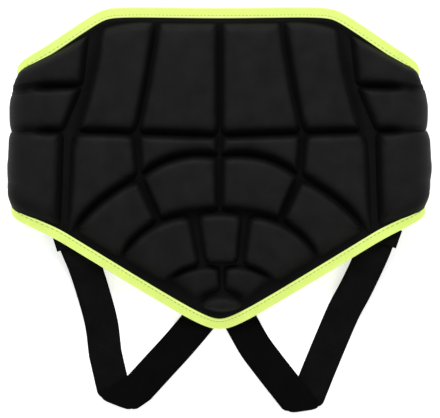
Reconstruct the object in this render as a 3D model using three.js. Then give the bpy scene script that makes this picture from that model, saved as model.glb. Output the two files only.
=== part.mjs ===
// Tailbone protector lying flat, outer face up, its waist belt closed underneath.
// Millimetres, +Z up, +X across the back, +Y towards the waist edge, origin under the middle on the floor.
import * as THREE from "three";

// Driving sizes
const PAD_WIDTH = 381;
const PAD_HEIGHT = 289;
const BASE_THICK = 4;
const BLOCK_HEIGHT = 11;
const TIP_BLOCK_HEIGHT = 7;
const BLOCK_WALL = 0.42;
const BEND_RADIUS = 10;
const BEND_START = THREE.MathUtils.degToRad(7);
const TOP_CORNER = 104;
const TOP_SLOPE = 0.643;
const TOP_SCOOP = 1.4;
const TOP_ROUNDING = 10;
const LOWER_SLOPE = 0.619;
const LOWER_ROUNDING = 16.7;
const SEAM_RUN = 6;
const WING_TOP = 92;
const WING_BOTTOM = 160;
const WING_BLEND = 14;
const WING_OVERLAP = 80;
const WING_STEP_RUN = 26;
const WING_STEP_MARGIN = 4;
const BINDING_WIDTH = 9.5;
const BINDING_WALL = 1;
const BINDING_BACK = 2;
const BINDING_CHAMFER = 0.8;
const BINDING_PLAY = 0.4;
const FLANGE = 6.5;
const GROOVE = 5;
const HINGE_UPPER = 11;
const HINGE_LOWER = 15;
const CLOSURE_LENGTH = 62;
const CLOSURE_WIDTH = 44;
const CLOSURE_THICK = 1.5;
const STRAP_WIDTH = 30;
const STRAP_THICK = 2;
const STRAP_HANG = 112;
const TAB_WIDTH = 36;
const TAB_THICK = 1.5;
const TAB_LENGTH = 17;
const LIFT_DROOP = 0.14;
const CLEARANCE = 0.3;
const BLOCK_CLEARANCE = 0.8;
const TAB_CLEARANCE = 0.8;
const SEAM_GAP = 1.6;

// Sizes that follow from them
const HALF_WIDTH = PAD_WIDTH / 2;
const OUTER_RADIUS = BEND_RADIUS + BASE_THICK + BLOCK_HEIGHT;
const BEND_REACH = BEND_RADIUS + BASE_THICK;
const BEND_HEIGHT = BASE_THICK + BEND_RADIUS;
const BEND_CENTRE = HALF_WIDTH - OUTER_RADIUS;
const BEND_FROM = BEND_CENTRE + BEND_RADIUS * Math.sin(BEND_START);
const BEND_TO = BEND_FROM + (Math.PI - BEND_START) * BEND_REACH;
const WING_SEAM = BEND_TO + SEAM_RUN;
const WING_RUN = BEND_CENTRE + WING_OVERLAP / 2;
const WING_STEP_TO = WING_RUN - WING_OVERLAP - WING_STEP_MARGIN;
const WING_STEP_FROM = WING_STEP_TO - WING_STEP_RUN;
const WING_TIP = BEND_TO + WING_RUN;
const CLOSURE_GAP = CLOSURE_THICK + 2 * CLEARANCE;
const EDGE_GAP = BINDING_WIDTH + FLANGE;
const REACH_FROM = HALF_WIDTH / 2;

// Steps for slopes, in millimetres and as a share of a block, and the least slant that a gap allows for
const SMALL_STEP = 0.05;
const SHARE_STEP = 0.02;
const LEAST_SLANT = 0.35;

// How far the folded sides reach, as shares of the half width, at shares of the pad height
const SIDE_REACH = [
  { down: 0.0, reach: 1.0 },
  { down: 0.14, reach: 1.0 },
  { down: 0.3, reach: 0.981 },
  { down: 0.38, reach: 0.983 },
  { down: 0.48, reach: 1.0 },
  { down: 0.56, reach: 0.995 },
  { down: 0.64, reach: 1.018 },
  { down: 1.0, reach: 1.0 },
];

// The panel keeps its full lift between these shares of its height, and comes down to the floor at its lower point
const LIFT_BAND = { from: 0.25, to: 0.5 };

// Where the grooves meet: shares of the half width, and of the pad height from the top or from the named edge
const JUNCTIONS = {
  top_mid: { across: 0, down: 0, edge: "top" },
  top_divider: { across: 0.295, down: 0, edge: "top" },
  top_hinge: { across: 0.585, down: 0, edge: "top" },
  side_top: { across: 1.0, down: -0.03, edge: "top" },
  hinge_step: { across: 0.625, down: 0.248 },
  side_step: { across: 1.0, down: 0.252 },
  hinge_row: { across: 0.703, down: 0.388 },
  side_row: { across: 1.0, down: 0.388 },
  divider_row: { across: 0.384, down: 0.394 },
  mid_row: { across: 0, down: 0.403 },
  hinge_low: { across: 0.731, down: 0, edge: "bottom" },
  side_low: { across: 1.0, down: 0.03, edge: "bottom" },
  knee: { across: 0.373, down: 0.53 },
  mid_a: { across: 0, down: 0.467 },
  edge_b: { across: 0.505, down: 0, edge: "bottom" },
  spoke_b: { across: 0.281, down: 0.665 },
  mid_b: { across: 0, down: 0.634 },
  seat_b: { across: 0.113, down: 0.64 },
  edge_c: { across: 0.321, down: 0, edge: "bottom" },
  seat_c: { across: 0.085, down: 0.8 },
  mid_c: { across: 0, down: 0.802 },
  edge_d: { across: 0.236, down: 0, edge: "bottom" },
  mid_d: { across: 0, down: 0.88 },
};

// Grooves that bow, as shares of their own length, upwards or outwards when positive
const BOWS = [
  { from: "top_hinge", to: "hinge_step", bow: -0.05 },
  { from: "hinge_step", to: "hinge_row", bow: 0.03 },
  { from: "top_divider", to: "divider_row", bow: 0.03 },
  { from: "knee", to: "mid_a", bow: 0.12 },
  { from: "hinge_low", to: "knee", bow: 0.08 },
  { from: "spoke_b", to: "mid_b", bow: 0.06 },
  { from: "edge_b", to: "spoke_b", bow: 0.09 },
  { from: "edge_b", to: "seat_b", bow: 0.16 },
  { from: "edge_c", to: "seat_c", bow: 0.13 },
  { from: "edge_c", to: "mid_c", bow: 0.17 },
];

// Half gaps kept to the lines that bound a block
const GAPS = {
  edge: EDGE_GAP,
  groove: GROOVE / 2,
  upper: HINGE_UPPER / 2,
  lower: HINGE_LOWER / 2,
  open: 0,
};

// Foam blocks of the left half, each mirrored: corners by junction, gaps on the north, east, south and west sides
const BLOCKS = [
  { name: "upper_outer_block", nw: "top_hinge", ne: "top_divider", se: "divider_row", sw: "hinge_row",
    gaps: ["edge", "groove", "groove", "upper"] },
  { name: "upper_inner_block", nw: "top_divider", ne: "top_mid", se: "mid_row", sw: "divider_row",
    gaps: ["edge", "groove", "groove", "groove"] },
  { name: "side_top_block", nw: "side_top", ne: "top_hinge", se: "hinge_step", sw: "side_step",
    gaps: ["edge", "upper", "groove", "open"], wraps: true },
  { name: "side_upper_block", nw: "side_step", ne: "hinge_step", se: "hinge_row", sw: "side_row",
    gaps: ["groove", "upper", "groove", "open"], wraps: true },
  { name: "side_lower_block", nw: "side_row", ne: "hinge_row", se: "hinge_low", sw: "side_low",
    gaps: ["groove", "lower", "edge", "open"], wraps: true },
  { name: "middle_outer_block", nw: "hinge_row", ne: "divider_row", se: "knee", sw: "hinge_low",
    gaps: ["groove", "groove", "groove", "lower"] },
  { name: "middle_inner_block", nw: "divider_row", ne: "mid_row", se: "mid_a", sw: "knee",
    gaps: ["groove", "groove", "groove", "groove"] },
  { name: "fan_outer_block", nw: "hinge_low", ne: "knee", se: "spoke_b", sw: "edge_b",
    gaps: ["groove", "groove", "groove", "edge"] },
  { name: "fan_upper_block", nw: "knee", ne: "mid_a", se: "mid_b", sw: "spoke_b",
    gaps: ["groove", "groove", "groove", "groove"] },
  { name: "fan_lower_block", nw: "edge_b", ne: "seat_b", se: "seat_c", sw: "edge_c",
    gaps: ["groove", "groove", "groove", "edge"] },
  { name: "fan_tip_block", nw: "edge_c", ne: "mid_c", se: "mid_d", sw: "edge_d", height: TIP_BLOCK_HEIGHT,
    gaps: ["groove", "groove", "groove", "edge"] },
];

// Blocks on the middle line: half widths at top and bottom, and their ends, as shares
const MIDDLE_BLOCKS = [
  { name: "seat_block", top: 0.113, bottom: 0.085, from: 0.64, to: 0.8,
    corner: 6, height: BLOCK_HEIGHT, gap: "groove" },
  { name: "tip_block", top: 0.107, bottom: 0.107, from: 0.886, to: 0.951,
    corner: 2, height: TIP_BLOCK_HEIGHT, gap: "open" },
];
const BLOCK_CORNER = 7;

// Middle line of each leg strap: shares of the half width and the pad height, and layers above the floor.
// The row marked as a fold turns the webbing back on itself.
const STRAPS = {
  left: [
    { across: -0.714, down: 0.688, layer: 0 },
    { across: -0.681, down: 0.741, layer: 0 },
    { across: -0.632, down: 0.804, layer: 0 },
    { across: -0.592, down: 0.879, layer: 0 },
    { across: -0.556, down: 0.983, layer: 0 },
    { across: -0.533, down: 1.081, layer: 0 },
    { across: -0.478, down: 1.237, layer: 0, fold: true },
    { across: -0.38, down: 1.187, layer: 1 },
    { across: -0.283, down: 1.117, layer: 0.6 },
    { across: -0.194, down: 1.053, layer: 0.3 },
    { across: -0.104, down: 0.983, layer: 0.8 },
    { across: -0.073, down: 0.957, layer: 0.8 },
  ],
  right: [
    { across: 0.781, down: 0.676, layer: 0 },
    { across: 0.757, down: 0.713, layer: 0 },
    { across: 0.717, down: 0.769, layer: 0 },
    { across: 0.64, down: 0.87, layer: 0 },
    { across: 0.579, down: 0.949, layer: 0 },
    { across: 0.513, down: 1.045, layer: 0 },
    { across: 0.45, down: 1.142, layer: 0 },
    { across: 0.384, down: 1.255, layer: 0, fold: true },
    { across: 0.29, down: 1.165, layer: 1 },
    { across: 0.225, down: 1.11, layer: 0.6 },
    { across: 0.164, down: 1.055, layer: 0.3 },
    { across: 0.1, down: 0.98, layer: 0.8 },
    { across: 0.07, down: 0.945, layer: 0.8 },
  ],
};

// Stations across the panel, as shares of the half width, closer together where an edge turns
const PANEL_STATIONS = [0, 0.03, 0.07, 0.13, 0.21, 0.32, 0.43, 0.5, 0.54, 0.58, 0.64, 0.73];
const BEND_STEPS = 9;
const WING_TAPER_STEPS = 6;
const WING_RISE_STEPS = 4;
const WING_END_STEPS = 2;
const ROWS_DOWN = 8;

// Grid lines over a block, from side to side, and closer together where it wraps round a bend
const GRID = [-1, -0.84, -0.32, 0.32, 0.84, 1];
const BEND_GRID = [-1, -0.9, -0.78, -0.64, -0.5, -0.35, -0.2, -0.05, 0.25, 0.6, 0.88, 1];

// Places over a strap's width, from edge to edge, and the steps of a fold
const WIDTH_SHARES = [-1, -0.5, 0, 0.5, 1];
const FOLD_STEPS = 4;

// Materials
const COLOURS = {
  fabric: { color: 0x1c1c1c, roughness: 0.75 },
  foam: { color: 0x1e1e1e, roughness: 0.7 },
  binding: { color: 0xe0ff70, roughness: 0.6 },
  webbing: { color: 0x111111, roughness: 0.85 },
};

function smoothStep(share) {
  const t = THREE.MathUtils.clamp(share, 0, 1);
  return t * t * (3 - 2 * t);
}

function readTable(rows, down, column) {
  const next = rows.findIndex((row) => row.down >= down);
  if (next === -1) return rows[rows.length - 1][column];
  if (next === 0) return rows[0][column];
  const low = rows[next - 1];
  const high = rows[next];
  return THREE.MathUtils.lerp(low[column], high[column], smoothStep((down - low.down) / (high.down - low.down)));
}

function softMax(a, b, blend) {
  return (a + b + Math.hypot(a - b, blend)) / 2;
}

function softMin(a, b, blend) {
  return (a + b - Math.hypot(a - b, blend)) / 2;
}

// The waist edge and the lower edge, as depths below the top, at a distance across
function topEdge(across) {
  const ramp = TOP_SLOPE * softMax(Math.abs(across) - TOP_CORNER, 0, TOP_ROUNDING);
  const scoop = TOP_SCOOP * smoothStep(1 - Math.abs(across) / TOP_CORNER);
  return softMin(ramp, WING_TOP, WING_BLEND) + scoop;
}

function bottomEdge(across) {
  const point = PAD_HEIGHT + LOWER_SLOPE * LOWER_ROUNDING;
  return softMax(point - LOWER_SLOPE * Math.hypot(across, LOWER_ROUNDING), WING_BOTTOM, WING_BLEND);
}

const EDGES = { top: topEdge, bottom: bottomEdge };

// How much of the full lift is left at a depth below the top
function liftAt(down) {
  const share = down / PAD_HEIGHT;
  const above = Math.max(0, LIFT_BAND.from - share) / LIFT_BAND.from;
  const below = Math.max(0, share - LIFT_BAND.to) / (1 - LIFT_BAND.to);
  return Math.max(0, 1 - LIFT_DROOP * above ** 2 - below ** 2);
}

// The inner face: crowned across the back, rolled round each side, and flat on the floor as the wings
function innerFace(across, down) {
  const side = across < 0 ? -1 : 1;
  const run = Math.abs(across);
  const angle = BEND_START + (run - BEND_FROM) / BEND_REACH;
  const wingRun = (angle - Math.PI) * BEND_REACH;
  const point = new THREE.Vector3(run, -down, 0);
  if (run <= BEND_FROM) {
    const crown = (Math.tan(BEND_START) / (2 * BEND_FROM)) * (BEND_FROM ** 2 - run ** 2);
    point.z = BEND_HEIGHT + BEND_RADIUS * Math.cos(BEND_START) + crown;
  } else if (angle < Math.PI) {
    point.x = BEND_CENTRE + BEND_RADIUS * Math.sin(angle);
    point.z = BEND_HEIGHT + BEND_RADIUS * Math.cos(angle);
  } else {
    point.x = BEND_CENTRE - wingRun;
    point.z = BASE_THICK;
  }
  point.z = BASE_THICK + (point.z - BASE_THICK) * liftAt(down);
  if (side < 0) point.z += (BASE_THICK + CLOSURE_GAP) * smoothStep((wingRun - WING_STEP_FROM) / WING_STEP_RUN);
  const reach = HALF_WIDTH * (readTable(SIDE_REACH, down / PAD_HEIGHT, "reach") - 1);
  point.x += reach * smoothStep((run - REACH_FROM) / (BEND_FROM - REACH_FROM));
  point.x *= side;
  return point;
}

// A point of the worn layer: across, down, and out from the inner face
function place(across, down, out) {
  const spanAcross = innerFace(across + SMALL_STEP, down).sub(innerFace(across - SMALL_STEP, down));
  const spanDown = innerFace(across, down + SMALL_STEP).sub(innerFace(across, down - SMALL_STEP));
  const normal = spanDown.cross(spanAcross).normalize();
  return innerFace(across, down).addScaledVector(normal, out);
}

function makeGeometry(points, triangles) {
  const geometry = new THREE.BufferGeometry();
  geometry.setAttribute("position", new THREE.Float32BufferAttribute(points.flatMap((p) => [p.x, p.y, p.z]), 3));
  geometry.setIndex(triangles.flat());
  geometry.computeVertexNormals();
  return geometry;
}

// A closed solid through equal rings of points, with the flat profile that closes its ends
function loft(rings, profile) {
  const count = profile.length;
  const triangles = [];
  for (let ring = 0; ring < rings.length - 1; ring += 1) {
    for (let i = 0; i < count; i += 1) {
      const a = ring * count + i;
      const b = ring * count + ((i + 1) % count);
      triangles.push([a, b, b + count], [a, b + count, a + count]);
    }
  }
  const turn = Math.sign(THREE.ShapeUtils.area(profile));
  const caps = THREE.ShapeUtils.triangulateShape(profile, [])
    .map((cap) => (Math.sign(THREE.ShapeUtils.area(cap.map((i) => profile[i]))) === turn ? cap : cap.toReversed()));
  const last = (rings.length - 1) * count;
  for (const [a, b, c] of caps) {
    triangles.push([a, c, b], [last + a, last + b, last + c]);
  }
  return orient(makeGeometry(rings.flat(), triangles), triangles);
}

// Turns every face round when the solid came out inside out
function orient(geometry, triangles) {
  const position = geometry.getAttribute("position");
  const corner = (i) => new THREE.Vector3().fromBufferAttribute(position, i);
  const volume = triangles.reduce((sum, [a, b, c]) => sum + corner(a).dot(corner(b).cross(corner(c))), 0);
  if (volume < 0) {
    geometry.setIndex(triangles.flatMap(([a, b, c]) => [a, c, b]));
    geometry.computeVertexNormals();
  }
  return geometry;
}

function part(name, geometry, kind) {
  const mesh = new THREE.Mesh(geometry, new THREE.MeshStandardMaterial({ ...COLOURS[kind], metalness: 0 }));
  mesh.name = name;
  return mesh;
}

// A point in from an edge, square to that edge in the flat pattern
function edgePoint(edge, across, inset) {
  const slope = (EDGES[edge](across + SMALL_STEP) - EDGES[edge](across - SMALL_STEP)) / (2 * SMALL_STEP);
  const inward = new THREE.Vector2(-slope, 1).normalize();
  if (edge === "bottom") inward.negate();
  return new THREE.Vector2(across, EDGES[edge](across)).addScaledVector(inward, inset);
}

// The panel's ring at one station: a full sheet with a thin tongue along each edge, inside the binding
function sheetRing(across) {
  const tongueOut = BINDING_BACK + BINDING_PLAY;
  const tongueIn = BINDING_WIDTH + BINDING_PLAY;
  const low = BINDING_WALL + BINDING_PLAY;
  const high = BASE_THICK - low;
  const at = (edge, inset) => edgePoint(edge, across, inset);
  const from = at("top", tongueIn);
  const to = at("bottom", tongueIn);
  const rows = Array.from({ length: ROWS_DOWN + 1 }, (_, i) => from.clone().lerp(to, i / ROWS_DOWN));
  return [
    { spot: at("top", tongueOut), out: low },
    { spot: at("top", tongueOut), out: high },
    { spot: from, out: high },
    ...rows.map((spot) => ({ spot, out: BASE_THICK })),
    { spot: to, out: high },
    { spot: at("bottom", tongueOut), out: high },
    { spot: at("bottom", tongueOut), out: low },
    { spot: to, out: low },
    ...rows.toReversed().map((spot) => ({ spot, out: 0 })),
    { spot: from, out: low },
  ];
}

// The binding's ring at one station: a channel that closes over the tongue. Along the top it runs the other way
// round, so that its faces split on the same diagonals as the tongue's.
function bindingRing(edge, across) {
  const ring = [
    { inset: BINDING_WIDTH, out: 0 },
    { inset: BINDING_CHAMFER, out: 0 },
    { inset: 0, out: BINDING_CHAMFER },
    { inset: 0, out: BASE_THICK - BINDING_CHAMFER },
    { inset: BINDING_CHAMFER, out: BASE_THICK },
    { inset: BINDING_WIDTH, out: BASE_THICK },
    { inset: BINDING_WIDTH, out: BASE_THICK - BINDING_WALL },
    { inset: BINDING_BACK, out: BASE_THICK - BINDING_WALL },
    { inset: BINDING_BACK, out: BINDING_WALL },
    { inset: BINDING_WIDTH, out: BINDING_WALL },
  ].map(({ inset, out }) => ({ spot: edgePoint(edge, across, inset), out }));
  return edge === "top" ? ring.reverse() : ring;
}

// Lofts rings of pattern points through the stations, each put in place round the body
function bentLoft(stations, ringAt) {
  const rings = stations.map(ringAt);
  const profile = rings[0].map(({ spot, out }) => new THREE.Vector2(spot.y, out));
  return loft(rings.map((ring) => ring.map(({ spot, out }) => place(spot.x, spot.y, out))), profile);
}

function spread(from, to, steps) {
  return Array.from({ length: steps + 1 }, (_, i) => THREE.MathUtils.lerp(from, to, i / steps));
}

// Stations from the middle out to the end of each bend, and along a wing
function panelStations() {
  const flat = PANEL_STATIONS.map((share) => share * HALF_WIDTH);
  const half = [...flat, ...spread(BEND_FROM, BEND_TO, BEND_STEPS), WING_SEAM];
  return [...half.slice(1).map((across) => -across).reverse(), ...half];
}

function wingStations() {
  return [
    ...spread(WING_SEAM, BEND_TO + WING_STEP_FROM, WING_TAPER_STEPS).slice(1),
    ...spread(BEND_TO + WING_STEP_FROM, BEND_TO + WING_STEP_TO, WING_RISE_STEPS).slice(1),
    ...spread(BEND_TO + WING_STEP_TO, WING_TIP, WING_END_STEPS).slice(1),
  ];
}

function makePanel() {
  return part("back_panel", bentLoft(panelStations(), sheetRing), "fabric");
}

function makeWing(name, side) {
  const stations = [WING_SEAM + SEAM_GAP, ...wingStations()].map((across) => side * across);
  return part(name, bentLoft(stations, sheetRing), "fabric");
}

function makeBinding(name, edge) {
  const wing = wingStations();
  const left = wing.map((across) => -across).reverse();
  const stations = [...left, ...panelStations(), ...wing];
  return part(name, bentLoft(stations, (across) => bindingRing(edge, across)), "binding");
}

// One side of a block, bowed as its groove is, at a share of the way along
function sidePoint(from, to, share) {
  const row = BOWS.find((bow) => (bow.from === from && bow.to === to) || (bow.from === to && bow.to === from));
  const start = junction(from);
  const end = junction(to);
  const turn = row ? row.bow * (row.from === from ? 1 : -1) : 0;
  const span = end.clone().sub(start);
  const lift = 4 * turn * share * (1 - share);
  return start.addScaledVector(span, share).add(new THREE.Vector2(span.y, -span.x).multiplyScalar(lift));
}

function junction(name) {
  const { across, down, edge } = JUNCTIONS[name];
  const x = -across * HALF_WIDTH;
  const base = edge ? EDGES[edge](x) : 0;
  return new THREE.Vector2(x, base + down * PAD_HEIGHT);
}

// A point inside a block's four bowed sides
function patchPoint(block, s, t) {
  const north = sidePoint(block.nw, block.ne, s);
  const south = sidePoint(block.sw, block.se, s);
  const west = sidePoint(block.nw, block.sw, t);
  const east = sidePoint(block.ne, block.se, t);
  const ruled = north.multiplyScalar(1 - t).addScaledVector(south, t)
    .addScaledVector(west, 1 - s).addScaledVector(east, s);
  return ruled
    .addScaledVector(junction(block.nw), -(1 - s) * (1 - t))
    .addScaledVector(junction(block.ne), -s * (1 - t))
    .addScaledVector(junction(block.se), -s * t)
    .addScaledVector(junction(block.sw), -(1 - s) * t);
}

// The share of a block's span that a gap takes at one of its sides, allowing for the slant
function gapShare(gap, near, far, before, after) {
  const span = far.clone().sub(near);
  const tangent = after.clone().sub(before);
  const slant = Math.abs(span.cross(tangent)) / (span.length() * tangent.length());
  return gap / (Math.max(slant, LEAST_SLANT) * span.length());
}

function insetPoint(block, s, t) {
  const [north, east, south, west] = block.gaps.map((name) => GAPS[name]);
  const at = (a, b) => patchPoint(block, a, b);
  const above = Math.max(0, t - SHARE_STEP);
  const below = Math.min(1, t + SHARE_STEP);
  const left = Math.max(0, s - SHARE_STEP);
  const right = Math.min(1, s + SHARE_STEP);
  const sFrom = gapShare(west, at(0, t), at(1, t), at(0, above), at(0, below));
  const sTo = 1 - gapShare(east, at(1, t), at(0, t), at(1, above), at(1, below));
  const tFrom = gapShare(north, at(s, 0), at(s, 1), at(left, 0), at(right, 0));
  const tTo = 1 - gapShare(south, at(s, 1), at(s, 0), at(left, 1), at(right, 1));
  return at(THREE.MathUtils.lerp(sFrom, sTo, s), THREE.MathUtils.lerp(tFrom, tTo, t));
}

// Pulls a point of the square from -1 to 1 into one with rounded corners
function roundSquare(a, b, corner) {
  const ring = Math.max(Math.abs(a), Math.abs(b));
  if (ring === 0) return [0, 0];
  const reach = (Math.abs(a / ring) ** corner + Math.abs(b / ring) ** corner) ** (1 / corner);
  return [a / reach, b / reach];
}

// How high a block stands, as a share of its height, at a ring of its square
function pillow(ring) {
  return BLOCK_WALL + (1 - BLOCK_WALL) * Math.sqrt(Math.max(0, 1 - ring ** 4));
}

// A block as a closed pillow: a grid of points on its crown, a grid on its back, and the wall between
function makeBlock(name, mirror, columns, corner, height, spotAt) {
  const crown = [];
  const back = [];
  const acrossSteps = mirror > 0 ? columns.map((a) => -a).reverse() : columns;
  for (const b of GRID) {
    for (const a of acrossSteps) {
      const [s, t] = roundSquare(mirror > 0 ? -a : a, b, corner);
      const spot = spotAt((s + 1) / 2, (t + 1) / 2);
      const across = mirror > 0 ? -spot.x : spot.x;
      const foot = BASE_THICK + BLOCK_CLEARANCE;
      const ring = Math.max(Math.abs(a), Math.abs(b));
      crown.push(place(across, spot.y, foot + height * pillow(ring)));
      back.push(place(across, spot.y, foot));
    }
  }
  const wide = acrossSteps.length;
  const deep = GRID.length;
  const base = crown.length;
  const triangles = [];
  for (let row = 0; row < deep - 1; row += 1) {
    for (let i = 0; i < wide - 1; i += 1) {
      const a = row * wide + i;
      triangles.push([a, a + wide, a + wide + 1], [a, a + wide + 1, a + 1]);
      triangles.push([base + a, base + a + wide + 1, base + a + wide], [base + a, base + a + 1, base + a + wide + 1]);
    }
  }
  const rim = [];
  for (let i = 0; i < wide - 1; i += 1) rim.push(i);
  for (let row = 0; row < deep - 1; row += 1) rim.push(row * wide + wide - 1);
  for (let i = wide - 1; i > 0; i -= 1) rim.push((deep - 1) * wide + i);
  for (let row = deep - 1; row > 0; row -= 1) rim.push(row * wide);
  rim.forEach((a, i) => {
    const b = rim[(i + 1) % rim.length];
    triangles.push([a, b, base + b], [a, base + b, base + a]);
  });
  return part(name, orient(makeGeometry([...crown, ...back], triangles), triangles), "foam");
}

function makeSideBlocks(block) {
  const columns = block.wraps ? BEND_GRID : GRID;
  const height = block.height ?? BLOCK_HEIGHT;
  const spotAt = (s, t) => insetPoint(block, s, t);
  return [
    makeBlock(block.name + "_left", -1, columns, BLOCK_CORNER, height, spotAt),
    makeBlock(block.name + "_right", 1, columns, BLOCK_CORNER, height, spotAt),
  ];
}

function makeMiddleBlock({ name, top, bottom, from, to, corner, height, gap }) {
  const inset = GAPS[gap];
  const spotAt = (s, t) => {
    const half = HALF_WIDTH * THREE.MathUtils.lerp(top, bottom, t) - inset;
    const down = THREE.MathUtils.lerp(PAD_HEIGHT * from + inset, PAD_HEIGHT * to - inset, t);
    return new THREE.Vector2(THREE.MathUtils.lerp(-half, half, s), down);
  };
  return makeBlock(name, -1, GRID, corner, height, spotAt);
}

// The hook patch that holds the two wing ends together
function makeClosure() {
  const geometry = new THREE.BoxGeometry(CLOSURE_LENGTH, CLOSURE_WIDTH, CLOSURE_THICK);
  const height = BASE_THICK + CLEARANCE + CLOSURE_THICK / 2;
  geometry.translate(0, -(WING_TOP + WING_BOTTOM) / 2, height);
  return part("closure_patch", geometry, "webbing");
}

// The lowest height of the panel's underside over a strap's width, or Infinity beyond its edges
function undersideOver(spot, square) {
  const heights = WIDTH_SHARES.map((share) => {
    const at = spot.clone().addScaledVector(square, (share * TAB_WIDTH) / 2);
    const edge = bottomEdge(at.x);
    return at.y < edge + BINDING_WIDTH ? innerFace(at.x, Math.min(at.y, edge)).z : Infinity;
  });
  return Math.min(...heights);
}

// The strap's middle line with the height of its lower face at each row
function strapLine(rows) {
  const spots = rows.map((row) => new THREE.Vector2(row.across * HALF_WIDTH, row.down * PAD_HEIGHT));
  const hidden = CLEARANCE + STRAP_THICK;
  const sewn = hidden + TAB_THICK + TAB_CLEARANCE;
  const runs = [0];
  spots.slice(1).forEach((spot, i) => runs.push(runs[i] + spot.distanceTo(spots[i])));
  const squareAt = (i) => {
    const run = spots[Math.min(i + 1, spots.length - 1)].clone().sub(spots[Math.max(i - 1, 0)]).normalize();
    return new THREE.Vector2(run.y, -run.x);
  };
  const startHeight = undersideOver(spots[0], squareAt(0)) - sewn;
  return rows.map((row, i) => {
    const hang = startHeight * (1 - smoothStep(runs[i] / STRAP_HANG));
    const floor = row.layer * (STRAP_THICK + CLEARANCE);
    const limit = undersideOver(spots[i], squareAt(i)) - (i < rows.length / 2 ? sewn : hidden);
    return { spot: spots[i], height: Math.min(Math.max(hang, floor), limit), fold: row.fold ?? false };
  });
}

// Four corners of flat webbing at a spot, its width along the given direction
function webbingRing(spot, direction, width, height, thick) {
  const half = direction.clone().multiplyScalar(width / 2);
  const corner = (sign, z) => new THREE.Vector3(spot.x + sign * half.x, -(spot.y + sign * half.y), z);
  return [corner(-1, height), corner(1, height), corner(1, height + thick), corner(-1, height + thick)];
}

// Webbing along its middle line, square to its run, and turned over on a slanted line where it folds
function makeWebbing(line, width, thick) {
  const rings = [];
  let flip = 1;
  line.forEach(({ spot, height, fold }, i) => {
    const before = line[Math.max(0, i - 1)].spot;
    const after = line[Math.min(line.length - 1, i + 1)].spot;
    const into = i > 0 ? spot.clone().sub(before).normalize() : after.clone().sub(spot).normalize();
    const out = i < line.length - 1 ? after.clone().sub(spot).normalize() : into.clone();
    if (!fold) {
      const run = into.clone().add(out).normalize();
      const square = new THREE.Vector2(run.y, -run.x).multiplyScalar(flip);
      const stretch = 1 / Math.abs(run.dot(out));
      const ring = webbingRing(spot, square, width * stretch, height, thick);
      rings.push(flip > 0 ? ring : [ring[3], ring[2], ring[1], ring[0]]);
      return;
    }
    const crease = into.clone().add(out).normalize();
    if (crease.dot(new THREE.Vector2(into.y, -into.x)) < 0) crease.negate();
    const length = width / Math.abs(crease.cross(into));
    const away = new THREE.Vector2(-crease.y, crease.x);
    if (away.dot(into) < 0) away.negate();
    const middle = height + thick + CLEARANCE / 2;
    for (let step = 0; step <= FOLD_STEPS; step += 1) {
      const angle = (Math.PI * step) / FOLD_STEPS;
      const inner = CLEARANCE / 2;
      const outer = inner + thick;
      const corner = (sign, radius) => {
        const reach = radius * Math.sin(angle);
        const flat = spot.clone().addScaledVector(crease, (sign * length) / 2).addScaledVector(away, reach);
        return new THREE.Vector3(flat.x, -flat.y, middle - radius * Math.cos(angle));
      };
      rings.push([corner(-1, outer), corner(1, outer), corner(1, inner), corner(-1, inner)]);
    }
    flip = -1;
  });
  const profile = [[0, 0], [1, 0], [1, 1], [0, 1]].map(([x, y]) => new THREE.Vector2(x, y));
  return loft(rings, profile);
}

function makeStrap(name, rows) {
  return part(name, makeWebbing(strapLine(rows), STRAP_WIDTH, STRAP_THICK), "webbing");
}

// The short tab sewn over the start of a strap, under the lower edge
function makeTab(name, rows) {
  const line = strapLine(rows).slice(0, 2);
  const run = line[1].spot.clone().sub(line[0].spot);
  const share = TAB_LENGTH / run.length();
  const end = line[0].spot.clone().addScaledVector(run, share);
  const rise = STRAP_THICK + TAB_CLEARANCE;
  const lift = (height) => height + rise;
  const tab = [
    { spot: line[0].spot, height: lift(line[0].height) },
    { spot: end, height: lift(THREE.MathUtils.lerp(line[0].height, line[1].height, share)) },
  ];
  return part(name, makeWebbing(tab, TAB_WIDTH, TAB_THICK), "webbing");
}

const protector = new THREE.Group();
protector.add(
  makePanel(),
  ...BLOCKS.flatMap(makeSideBlocks),
  ...MIDDLE_BLOCKS.map(makeMiddleBlock),
  makeBinding("binding_top", "top"),
  makeBinding("binding_bottom", "bottom"),
  makeWing("wing_left", -1),
  makeWing("wing_right", 1),
  makeClosure(),
  makeStrap("leg_strap_left", STRAPS.left),
  makeStrap("leg_strap_right", STRAPS.right),
  makeTab("strap_tab_left", STRAPS.left),
  makeTab("strap_tab_right", STRAPS.right),
);

// Stands the whole on the floor with its middle over the origin
const box = new THREE.Box3().setFromObject(protector, true);
const middle = box.getCenter(new THREE.Vector3());
protector.position.set(-middle.x, -middle.y, -box.min.z);

export default protector;
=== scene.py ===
"""Looks of a tailbone protector that lies flat, outer face up, its waist belt closed underneath.

The flat pattern is in millimetres: across from the middle line, down from the waist edge, and out from the
inner face. Everything in the scene is in metres, in the frame.
"""

import math
from collections import namedtuple

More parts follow.
